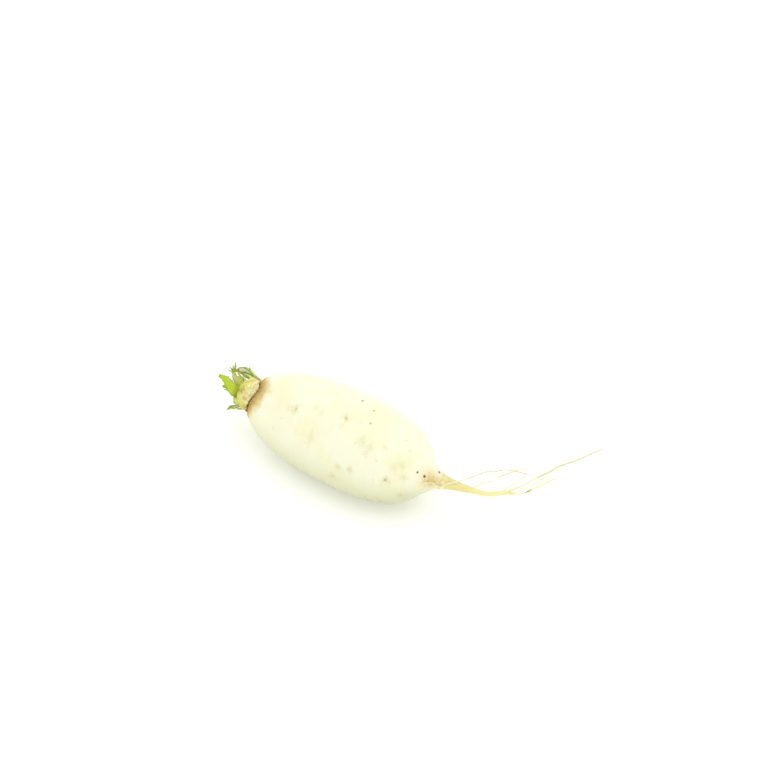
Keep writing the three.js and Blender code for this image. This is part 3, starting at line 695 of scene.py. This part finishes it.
# each stump: its path, half widths, thickness and cup, and how ragged it is
STALKS = {
    "stalk_arched": (
        [[5, 12, 34], [10.3, 15.3, 28], [16.8, 17.8, 21.5], [22.9, 18.6, 16.5], [27.8, 16.6, 12],
         [30.6, 13.2, 9]],
        [2.6, 3, 4, 4.8, 3.6, 0.9], 1.3, 1.7, dict(torn=0.03, crinkle=0.1)),
    "stalk_inner": (
        [[6.8, 10.4, 50], [12.2, 12.6, 39], [17.4, 12.5, 31], [22.3, 11.4, 25]],
        [2.2, 3.4, 3.8, 1.8], 1.2, 1.2, dict(torn=0.08)),
    "stalk_torn": (
        [[11.5, 8.5, 140], [15.1, 11.3, 142], [19.1, 13, 132], [23.6, 13.8, 121], [27.7, 14, 118.5],
         [31, 14, 121.5]],
        [4.2, 5.7, 3.8, 3.4, 2.2, 0.9], 1.1, 1.6, dict(teeth=0.22, torn=0.05, crinkle=0.35)),
    "stalk_shred": (
        [[16, 6, 214], [20.7, 5.4, 205], [26, 4.6, 192], [30.6, 4.4, 188]],
        [1.5, 2, 1.8, 0.8], 0.8, 0.5, dict(teeth=0.4, torn=0.08, crinkle=0.3)),
    "stalk_broad": (
        [[4, 10, 187], [7.5, 10.9, 187], [10.7, 11.7, 187], [13.2, 12.2, 186]],
        [4.2, 4.7, 4.8, 4.6], 2.2, 1.5, dict(torn=0.08)),
    "stalk_curled": (
        [[6.8, 10.9, 221], [10.2, 12.9, 219], [11.7, 15.8, 209.5], [13.1, 18.1, 201], [14.5, 19.9, 197]],
        [2.2, 2.8, 3.6, 3.4, 1.3], 1, 1.3, dict(torn=0.08, crinkle=0.2)),
    "stalk_low": (
        [[3.4, 11, 238], [5.8, 12.2, 234], [8.5, 13.8, 228], [11.6, 14.6, 223]],
        [2.6, 2.8, 2.4, 1], 1.2, 1, dict(torn=0.12, crinkle=0.15)),
    "stalk_under": (
        [[3, 12, 272], [8, 14.9, 272], [14, 16.6, 271]],
        [3.6, 3.4, 3.2], 2.6, 1.6, dict(torn=0.03)),
    "stalk_back_low": (
        [[3.5, 12, 306], [9.5, 15.2, 305], [17, 17.4, 303]],
        [4.1, 3.7, 3.4], 2.8, 2, dict(torn=0.03)),
    "stalk_back_high": (
        [[4, 12, 346], [10, 15, 346], [18.5, 15.8, 345]],
        [4, 3.6, 3.3], 2.8, 2, dict(torn=0.04)),
}
for seed, (name, (path, half_widths, thickness, cup, shape)) in enumerate(STALKS.items(), 71):
    grown = leaf_tube(path, half_widths, thickness, cup, seed, **shape)
    is_blade = name in ("stalk_torn", "stalk_shred")
    stalk = leaf_piece("leaf_" + name, [grown], torn_blade if is_blade else fresh_stalk)
    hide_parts(name)


# ---- Young leaves and the bud -----------------------------------------------------------------------------
# The newest leaves, still small, stand in the middle of the crown round the bud. They are grey-green and
# bristly, and carry narrow dark leaflets that end in spikes.

# young leaf: grey-green, with paler ribs and a yellower foot
young_leaf = leaf_finish("young_bristly_leaf", "#ccd68c", "#e2e8c4", "#b4c45e", "#bdb844", 0.55, 0.6)

# each leaf: its path, half widths, thickness and cup, and how toothed it is
YOUNG = {
    "young_leaf_top": (
        [[14.1, 6, 95], [18.3, 8.5, 91.5], [21.1, 12.4, 90], [21.5, 16, 86]],
        [4.6, 3.4, 2.2, 1.1], 1.2, 0.9, 0.15),
    "young_leaf_low": (
        [[12, 4.8, 248], [16.5, 5.6, 249], [20, 6.2, 250]],
        [1.5, 1.9, 0.6], 0.9, 0.6, 0.4),
    "young_leaf_back": (
        [[11.7, 5.3, 36], [17.2, 7.8, 42], [21.9, 10.2, 43], [24.4, 11.9, 42]],
        [2, 2.4, 2.2, 0.8], 0.9, 0.7, 0.3),
    "bud": (
        [[13.5, 0.2, 30], [17.5, 1, 30], [22.5, 2.6, 30]],
        [1.3, 1.2, 0.4], 1.5, 0.3, 0.1),
}
for seed, (name, (path, half_widths, thickness, cup, teeth)) in enumerate(YOUNG.items(), 91):
    grown = leaf_tube(path, half_widths, thickness, cup, seed, teeth=teeth, torn=0.1, crinkle=0.15)
    leaf = leaf_piece("grown_" + name, [grown], young_leaf)
    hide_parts(name)

# leaflet skin: dark fresh green with paler ribs and a still darker rim
leaflet_skin = leaf_finish("dark_green_leaflet", "#92ab1e", "#b4c64c", "#75900e", "#98b030", 0.5)

# leaflets on and beside the young leaves, and a spike on the arched stalk: path and middle half width
LEAFLETS = [
    ([[21, 15, 87], [22.5, 18.5, 77], [24.5, 20.5, 70]], 0.9),
    ([[21.2, 14.8, 89], [23.7, 16.5, 87], [25.6, 18.5, 87]], 0.8),
    ([[21.4, 15.4, 87], [23, 17, 83], [24.6, 19, 79]], 0.7),
    ([[20.8, 15, 86], [20.1, 16, 81], [20.6, 17, 76]], 1),
    ([[20.9, 15, 86.5], [22.1, 16.5, 84.7], [23.5, 17.5, 81.3]], 1.5),
    ([[22.4, 13.5, 88], [24, 15, 90.5], [25.7, 16, 92.8]], 0.5),
    ([[15.7, 16.6, 30], [17.4, 18.1, 30], [19.2, 19.6, 30]], 0.7),
    ([[24.7, 5, 151], [27.4, 5, 162], [30, 5, 178]], 0.9),
    ([[23, 5.4, 188], [25.9, 5.6, 200], [28.4, 6, 208]], 0.7),
    ([[13, 6, 322], [18, 8.4, 312], [22, 10, 304]], 0.9),
    ([[13, 6, 318], [18, 8, 326], [23, 10, 330]], 0.9), ([[20, 2, 30], [23, 4, 60], [25, 5.5, 70]], 0.6),
    ([[20, 2, 30], [23, 4, 350], [25.5, 5.6, 340]], 0.6),
]
leaflet_tubes = []
for seed, (path, middle) in enumerate(LEAFLETS, 120):
    half_widths = [0.5, middle, 0.8 * middle, 0.1]
    leaflet_tubes.append(leaf_tube(path, half_widths, 0.45, 0.3, seed, teeth=0.6, crinkle=0.15, ribs=0.03,
                                   rows=26, columns=8))
leaflets = leaf_piece("young_leaflets", leaflet_tubes, leaflet_skin)

# inner leaf: pale yellow green with paler ribs and an olive rim
inner_leaf = leaf_finish("pale_inner_leaf", "#d4d55e", "#dfe07a", "#a9b02c", "#cfcc58", 0.5, 0.5)

# small blades that fill the gaps between the young leaves and the stalks: path and middle half width
INNER_BLADES = [
    ([[13.5, 6.5, 62], [16.8, 8.5, 60], [19.1, 10.4, 58]], 1.7),
    ([[15.9, 5.7, 72], [18.3, 8.9, 69], [20.3, 11.5, 66]], 1.4),
    ([[12.6, 8.4, 52], [17, 9.6, 51], [22.7, 10.7, 50]], 1.7),
    ([[19.5, 12.2, 36], [24.5, 11.5, 36], [29.5, 10.9, 36]], 1.6),
]
blade_tubes = []
for seed, (path, middle) in enumerate(INNER_BLADES, 150):
    half_widths = [0.8, middle, 0.8 * middle, 0.2]
    blade_tubes.append(leaf_tube(path, half_widths, 0.5, 0.3, seed, teeth=0.3, crinkle=0.15,
                                 rows=26, columns=8))
blades = leaf_piece("inner_leaf_blades", blade_tubes, inner_leaf)


def strands(centres, radii, columns):
    """Thin round strands: centres is strands x rows x 3 points, radii strands x rows, in mm. Each ring is a
    circle of its radius, square to the strand."""
    ahead = np.gradient(centres, axis=1)
    ahead = ahead / np.maximum(np.linalg.norm(ahead, axis=-1), 1e-9)[..., None]
    side = np.cross([0.21, -0.35, 0.91], ahead)
    side = side / np.linalg.norm(side, axis=-1)[..., None]
    up = np.cross(ahead, side)
    turn = 2 * np.pi * np.arange(columns) / columns
    ring = side[:, :, None] * np.cos(turn)[:, None] + up[:, :, None] * np.sin(turn)[:, None]
    return centres[:, :, None] + ring * radii[:, :, None, None]


# bristles: short curved hairs that stand off the young leaves and leaflets, and one long hair on a stump
rng = np.random.default_rng(7)
HAIRS = 170
smooth_leaf, _ = leaf_tube(*YOUNG["young_leaf_top"][:4], 91)
hairy = [tube for tube, _ in leaflet_tubes[:6]] + [smooth_leaf]
sources = np.concatenate([tube.reshape(-1, 3) for tube in hairy])
feet = sources[rng.integers(0, len(sources), HAIRS)]
away = feet - [0, NECK[1], NECK[2]] - [0.6, 0, 0] * feet
away = away / np.linalg.norm(away, axis=1)[:, None] + rng.normal(0, 0.45, (HAIRS, 3)) + [-0.5, 0, 0]
hair_lengths = rng.uniform(0.6, 1.5, HAIRS)[:, None]
away = away / np.linalg.norm(away, axis=1)[:, None] * hair_lengths
t = np.linspace(0, 1, 5)[None, :, None]
paths = feet[:, None] + away[:, None] * t + rng.normal(0, 0.2, (HAIRS, 1, 3)) * t ** 2
HAIR_RADIUS = 0.07
hair_tubes = list(strands(paths, np.repeat(HAIR_RADIUS * (1.05 - t[:, :, 0]), HAIRS, 0), 4))
long_hair = [[14.3, 19.9, 197], [14.5, 20.6, 198], [14.3, 21.3, 199], [14.1, 21.9, 200], [14, 22.9, 201]]
hair_tubes += list(strands(crown(long_hair)[None], np.linspace(0.16, 0.06, 5)[None], 4))

# bristle: stiff pale hair, mottled with green
bristle, tree, shader = new_finish("leaf_bristle", 0.5)
pale = add_node(tree, "TexNoise", {"Vector": add_node(tree, "TexCoord").outputs["Object"], "Scale": 300.0})
tint = add_node(tree, "Mix", {0: pale.outputs["Fac"], 6: linear("#cfd698"), 7: linear("#7d8f36")},
                data_type="RGBA")
tree.links.new(tint.outputs[2], shader.inputs["Base Color"])
hairs = make_piece("leaf_bristles", hair_tubes, bristle)


# ---- Dry scales -------------------------------------------------------------------------------------------
# What is left of the oldest leaves: thin brown papery scales that stand off the collar, and withered fibres
# in the neck crease.

# dry scale: dull tan paper with paler ribs and a brown rim
dry_scale = leaf_finish("dry_papery_scale", "#bda65c", "#d8c584", "#8f7434", "#b09450", 0.8)

# each scale: its path and half widths
SCALES = {
    "dry_scale_top": ([[0.8, 12.8, 62], [3.4, 14.6, 61], [6.4, 15.6, 60]], [2.4, 1.8, 0.4]),
    "dry_scale_back": ([[0.8, 12.8, 324], [3.6, 15.2, 324], [6.5, 16.6, 325]], [2.4, 1.9, 0.5]),
}
for seed, (name, (path, half_widths)) in enumerate(SCALES.items(), 101):
    grown = leaf_tube(path, half_widths, 0.6, 0.6, seed, teeth=0.3, torn=0.25, crinkle=0.25)
    scale = leaf_piece("papery_" + name, [grown], dry_scale)
    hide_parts(name)


# the fibres, most of them on the right side: they lie along the shoulder and lift a little at their ends
rng = np.random.default_rng(17)
FIBRES = 210
KNOTS = 9  # points along each fibre
on_the_right = rng.random(FIBRES) < 0.72
around = np.where(on_the_right, rng.uniform(62, 222, FIBRES), rng.uniform(0, 360, FIBRES))
around = np.radians(around)[:, None]
share = np.linspace(0, 1, KNOTS)[None]
reach = (crease_at(around) + 0.1) + rng.gamma(2.2, 1.1, (FIBRES, 1)) * share
drift = np.radians(rng.normal(0, 7, (FIBRES, 1)) * share + rng.normal(0, 3, (FIBRES, 1)) * share ** 3)
raised = 0.05 + rng.uniform(0, 0.25, (FIBRES, 1)) * share ** 2
thick = rng.uniform(0.06, 0.13, (FIBRES, 1)) * (1.02 - share ** 2)
fibre_tubes = list(strands(skin(reach, around + drift, raised), thick, 4))
nothing = np.zeros((KNOTS, 4))
fibres = make_piece("crease_fibres", fibre_tubes, dry_scale, {
    "along": [np.repeat(share[0][:, None], 4, 1)] * FIBRES,
    "across": [nothing] * FIBRES,
    "hollow": [nothing] * FIBRES,
})


# ---- Side roots -------------------------------------------------------------------------------------------
# Threads that branch off the end of the body and the taproot, and lie spread out beside them: wavy and
# uneven, in pale yellow bark.

# root bark: pale straw, a little darker from three centimetres on
thread_bark = leaf_finish("pale_root_bark", "#eeeec0", "#f4f5d8", "#dddca2", "#ecebba", 0.6)


def thread(path, radii, seed, rows=120, columns=10, wander=0.14):
    """A tapering thread along the path: its middle wanders a little and its radius swells and shrinks by a
    tenth, both as sums of sine waves along it."""
    share = np.linspace(0, 1, rows)
    centre, _, length = along_path(path, share)
    place = share * length
    radius = radii[0] + (radii[1] - radii[0]) * share
    fade = ease(0, 0.15, share)
    offset = np.stack([rolling(place, 0, seed + k, 22, 0) for k in range(3)], -1) * wander * fade[:, None]
    centre = centre + offset * [1, 1, 0.4]
    radius = radius * (1 + 0.1 * rolling(place, 0, seed + 5, 5, 0))
    radius = radius * np.where(share > 0.97, np.sqrt(np.clip((1 - share) / 0.03, 0.02, 1)), 1)
    centre[:, 2] = np.maximum(centre[:, 2], radius)
    tube = strands(centre[None], radius[None], columns)[0]
    shape = tube.shape[:2]
    along = np.broadcast_to(place[:, None] / 40, shape)
    return tube, {"along": along, "across": np.zeros(shape), "hollow": np.zeros(shape)}


def clinging(places, lift=1):
    """Points a little above the skin, from (mm along, degrees) pairs."""
    along, around = np.array(places, float).T
    return skin(along, np.radians(around), lift).tolist()


# each side root: its branches, each a path of points (mm) and the radius at its start and at its end
SIDE_ROOTS = {
    "side_root_long": [
        ([[115, 40.5, 15], [116, 47, 12.6], [118, 60, 8], [118.5, 68, 5.5], [119.5, 76, 3], [122, 86, 1.2],
          [126, 98, 0.8], [132, 109, 0.7], [138, 121, 0.7], [144, 135, 0.6]], (0.85, 0.4))],
    "side_root_arched": [
        (clinging([(161, 157), (163, 158), (165.5, 152), (168, 166), (171.5, 171), (174, 146),
                   (177.5, 122), (180.5, 95)])
         + [[91.5, 11.5, 37.4], [95, 18.3, 36.6], [98, 31, 32.6], [100, 41, 26.8], [102, 58, 15.5],
            [104, 69, 6.5], [107, 75, 1.4], [112, 77, 0.6]], (0.5, 0.4)),
        ([[103.6, 67, 8.2], [104.2, 75, 3.4], [106, 80, 0.8], [109.5, 82, 0.6]], (0.4, 0.35))],
    "side_root_middle": [
        ([[98.6, 14, 29.6], [100, 22, 28.8], [102, 36, 22], [101.5, 52, 14], [101, 63, 7.5],
          [100.5, 71, 2.2], [101.5, 76, 0.6]], (0.6, 0.35))],
    "side_root_fine": [
        ([[112, 34, 18], [112.4, 45, 14.6], [112, 56, 9.6], [110, 69, 2.4], [109.5, 73, 0.6]], (0.5, 0.35))],
    "side_root_tip": [
        ([[122, 59, 4.4], [120.6, 65, 3.4], [120.8, 74, 1], [123, 79, 0.6], [127.4, 81, 0.6]], (0.45, 0.35))],
}
for seed, (name, branches) in enumerate(SIDE_ROOTS.items(), 1):
    threads = [thread(path, radii, 200 + 20 * seed + 7 * i) for i, (path, radii) in enumerate(branches)]
    side_root = leaf_piece("thread_" + name, threads, thread_bark)
    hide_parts(name)
